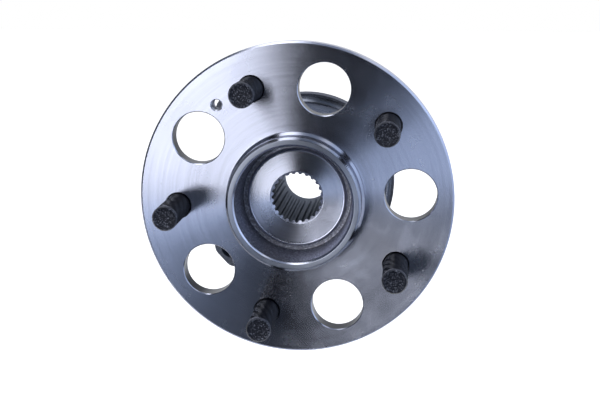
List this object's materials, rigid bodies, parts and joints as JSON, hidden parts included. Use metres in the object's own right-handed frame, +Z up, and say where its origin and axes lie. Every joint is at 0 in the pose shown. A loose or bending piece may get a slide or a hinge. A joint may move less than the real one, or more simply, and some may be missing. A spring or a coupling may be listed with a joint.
{
  "type": "wheel hub bearing",
  "caption": "Driven wheel hub: flange with wheel studs and pilot on a double-row ball bearing in a bolted outer ring.",
  "frame": {"origin": "centre of the flange's wheel-mounting face, on the hub's axis", "axes": "+Y along the axis of rotation towards the knuckle, +Z up; the wheel side faces -Y"},
  "size_m": [0.151, 0.099, 0.151],
  "materials": {
    "hub_steel": "fine turned, cold silver",
    "outer_ring_steel": "turned and forged, darker",
    "bearing_steel": "ground",
    "ball_steel": "polished",
    "stud_phosphate": "black phosphate, satin",
    "cage_polyamide": "moulded glass-filled polyamide",
    "seal_sheet_steel": "pressed sheet",
    "seal_rubber": "matt",
    "encoder_rubber": "matt, magnetised"
  },
  "bodies": {
    "outer_ring": {"outer_ring": "outer_ring_steel", "seal_case_outboard": "seal_sheet_steel", "seal_lips_outboard": "seal_rubber", "seal_case_inboard": "seal_sheet_steel", "seal_lips_inboard": "seal_rubber"},
    "hub": {"hub_flange": "hub_steel", "wheel_stud_1": "stud_phosphate", "wheel_stud_2": "stud_phosphate", "wheel_stud_3": "stud_phosphate", "wheel_stud_4": "stud_phosphate", "wheel_stud_5": "stud_phosphate", "inner_ring": "bearing_steel", "slinger": "seal_sheet_steel", "encoder_ring": "encoder_rubber"},
    "outboard_row": {"cage_outboard": "cage_polyamide", "ball_outboard_01": "ball_steel", "ball_outboard_02": "ball_steel", "ball_outboard_03": "ball_steel", "ball_outboard_04": "ball_steel", "ball_outboard_05": "ball_steel", "ball_outboard_06": "ball_steel", "ball_outboard_07": "ball_steel", "ball_outboard_08": "ball_steel", "ball_outboard_09": "ball_steel", "ball_outboard_10": "ball_steel", "ball_outboard_11": "ball_steel", "ball_outboard_12": "ball_steel"},
    "inboard_row": {"cage_inboard": "cage_polyamide", "ball_inboard_01": "ball_steel", "ball_inboard_02": "ball_steel", "ball_inboard_03": "ball_steel", "ball_inboard_04": "ball_steel", "ball_inboard_05": "ball_steel", "ball_inboard_06": "ball_steel", "ball_inboard_07": "ball_steel", "ball_inboard_08": "ball_steel", "ball_inboard_09": "ball_steel", "ball_inboard_10": "ball_steel", "ball_inboard_11": "ball_steel", "ball_inboard_12": "ball_steel"}
  },
  "joints": [
    {"name": "hub_spin", "type": "hinge", "parent": "outer_ring", "child": "hub", "pos_m": [0, 0, 0], "axis": [0, 1, 0], "continuous": true},
    {"name": "outboard_row_orbit", "type": "hinge", "parent": "outer_ring", "child": "outboard_row", "pos_m": [0, 0.027, 0], "axis": [0, 1, 0], "continuous": true},
    {"name": "inboard_row_orbit", "type": "hinge", "parent": "outer_ring", "child": "inboard_row", "pos_m": [0, 0.051, 0], "axis": [0, 1, 0], "continuous": true}
  ],
  "couplings": [
    {"joint": "outboard_row_orbit", "follows": "hub_spin", "ratio": 0.41743},
    {"joint": "inboard_row_orbit", "follows": "hub_spin", "ratio": 0.41743}
  ]
}
